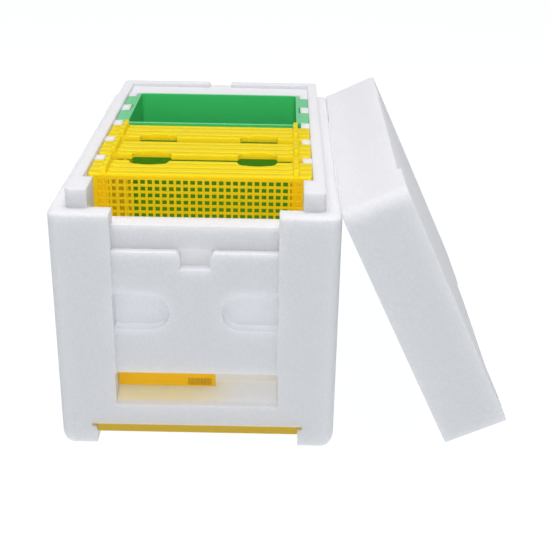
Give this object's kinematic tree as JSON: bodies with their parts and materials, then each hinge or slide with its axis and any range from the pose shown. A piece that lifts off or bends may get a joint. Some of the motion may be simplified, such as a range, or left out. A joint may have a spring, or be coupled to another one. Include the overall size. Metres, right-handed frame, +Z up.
{
  "type": "mating nucleus beehive",
  "caption": "Small open-topped foam mating hive with a raised rim, lift-out plastic frames, a feeder tub, an entrance gate, a floor slide and a foam lid leaning on its side.",
  "frame": {"origin": "on the floor, under the middle of the box that holds the whole set at rest, the leaning lid included", "axes": "+Z up, +Y from the entrance wall towards the feeder, +X from the hive towards the leaning lid"},
  "size_m": [0.311, 0.309, 0.1909],
  "materials": {
    "white_foam": "fine beaded foam, matte",
    "yellow_plastic": "moulded plastic, satin gloss",
    "green_plastic": "moulded plastic, satin gloss"
  },
  "bodies": {
    "hive": {"hive_body": "white_foam"},
    "lid": {"lid": "white_foam"},
    "feeder": {"feeder_tub": "green_plastic"},
    "gate": {"entrance_gate": "yellow_plastic"},
    "floor_slide": {"floor_slide": "yellow_plastic"},
    "frame_1": {"frame_1_top_bar": "yellow_plastic", "frame_1_side_bar_left": "yellow_plastic", "frame_1_side_bar_right": "yellow_plastic", "frame_1_bottom_bar": "yellow_plastic", "frame_1_comb_guide": "yellow_plastic", "front_mesh_panel": "yellow_plastic"},
    "frame_2": {"frame_2_top_bar": "yellow_plastic", "frame_2_side_bar_left": "yellow_plastic", "frame_2_side_bar_right": "yellow_plastic", "frame_2_bottom_bar": "yellow_plastic", "frame_2_comb_guide": "yellow_plastic"},
    "frame_3": {"frame_3_top_bar": "yellow_plastic", "frame_3_side_bar_left": "yellow_plastic", "frame_3_side_bar_right": "yellow_plastic", "frame_3_bottom_bar": "yellow_plastic", "frame_3_comb_guide": "yellow_plastic"}
  },
  "joints": [
    {"name": "lid_lift", "type": "slide", "parent": "hive", "child": "lid", "axis": [0, 0, 1], "range_m": [0, 0.25]},
    {"name": "feeder_lift", "type": "slide", "parent": "hive", "child": "feeder", "axis": [0, 0, 1], "range_m": [0, 0.14]},
    {"name": "gate_slide", "type": "slide", "parent": "hive", "child": "gate", "axis": [1, 0, 0], "range_m": [0, 0.04]},
    {"name": "floor_slide_pull", "type": "slide", "parent": "hive", "child": "floor_slide", "axis": [0, -1, 0], "range_m": [0, 0.2]},
    {"name": "frame_1_lift", "type": "slide", "parent": "hive", "child": "frame_1", "axis": [0, 0, 1], "range_m": [0, 0.14]},
    {"name": "frame_2_lift", "type": "slide", "parent": "hive", "child": "frame_2", "axis": [0, 0, 1], "range_m": [0, 0.14]},
    {"name": "frame_3_lift", "type": "slide", "parent": "hive", "child": "frame_3", "axis": [0, 0, 1], "range_m": [0, 0.14]}
  ]
}
